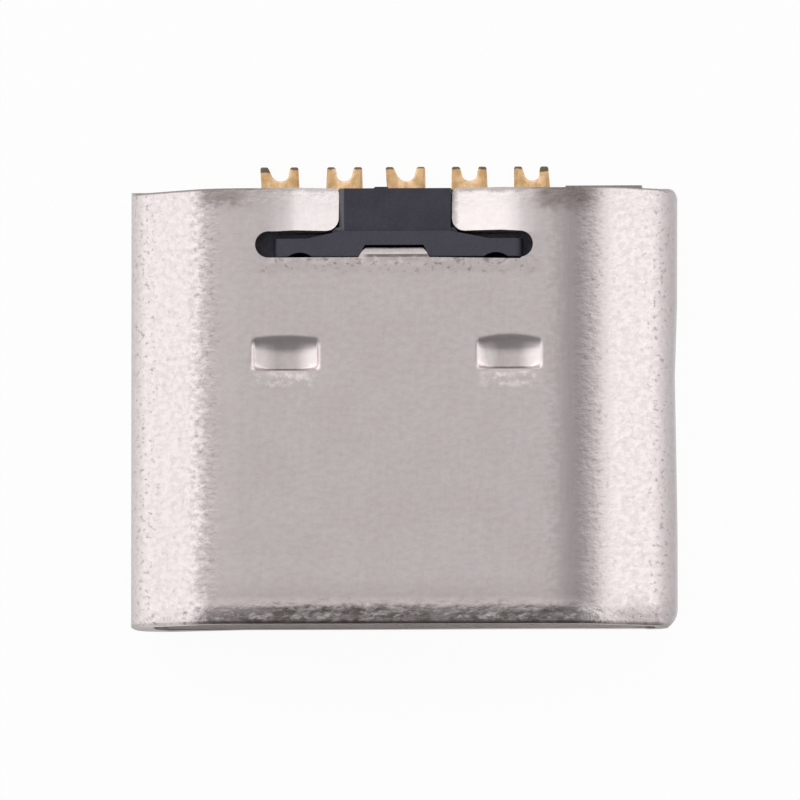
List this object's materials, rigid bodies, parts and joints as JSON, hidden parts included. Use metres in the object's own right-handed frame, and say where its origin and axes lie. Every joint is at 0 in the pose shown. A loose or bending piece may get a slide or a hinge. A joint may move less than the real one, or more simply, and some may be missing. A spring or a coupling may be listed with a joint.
{
  "type": "charging socket",
  "caption": "Micro charging socket for a circuit board: folded metal shell with a trapezoid mouth, black insulator with tongue, and gold contacts with forked solder tails.",
  "frame": {"origin": "middle of the board face: on the socket's centre line, halfway between the front rim and the rear edge of the narrow face", "axes": "+X across the socket, +Y from the plug opening to the solder tails, +Z away from the board"},
  "size_m": [0.0074, 0.0064, 0.0025],
  "materials": {
    "nickel_plate": "satin nickel plate on steel sheet, finely pitted at the bends and edges",
    "black_moulding": "blue-black glass-filled moulding",
    "gold_plate": "gold plate on copper alloy strip, with bare sheared ends"
  },
  "bodies": {
    "root": {"shell": "nickel_plate", "insulator": "black_moulding", "contact_1": "gold_plate", "contact_2": "gold_plate", "contact_3": "gold_plate", "contact_4": "gold_plate", "contact_5": "gold_plate"}
  },
  "joints": []
}
